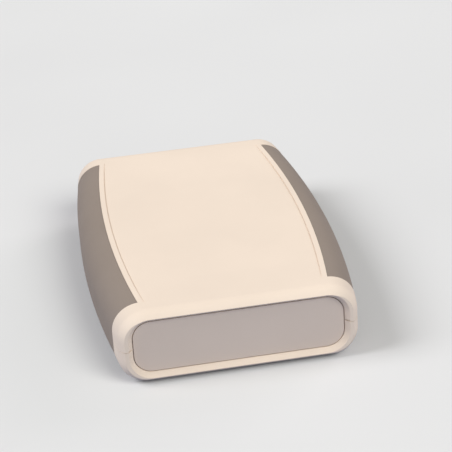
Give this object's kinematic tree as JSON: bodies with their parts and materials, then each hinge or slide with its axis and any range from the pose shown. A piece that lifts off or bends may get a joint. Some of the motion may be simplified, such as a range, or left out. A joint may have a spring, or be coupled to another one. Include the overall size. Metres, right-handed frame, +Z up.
{
  "type": "handheld enclosure",
  "caption": "Palm-size handheld enclosure with barrel-shaped sides: moulded half shells, soft side grips and flat end panels, held together by screws from the underside.",
  "frame": {"origin": "centre of the bounding box at the underside, which the case lies on", "axes": "+Z up out of the top face, +Y along the length from the front end to the rear end, +X across the width to the right grip"},
  "size_m": [0.079, 0.117, 0.023],
  "materials": {
    "ivory_plastic": "fine moulded texture",
    "panel_plastic": "fine moulded texture",
    "grip_rubber": "soft matte",
    "screw_steel": "bright"
  },
  "bodies": {
    "root": {"top_shell": "ivory_plastic", "bottom_shell": "ivory_plastic", "front_panel": "panel_plastic", "rear_panel": "panel_plastic", "left_grip": "grip_rubber", "right_grip": "grip_rubber", "case_screws": "screw_steel"}
  },
  "joints": []
}
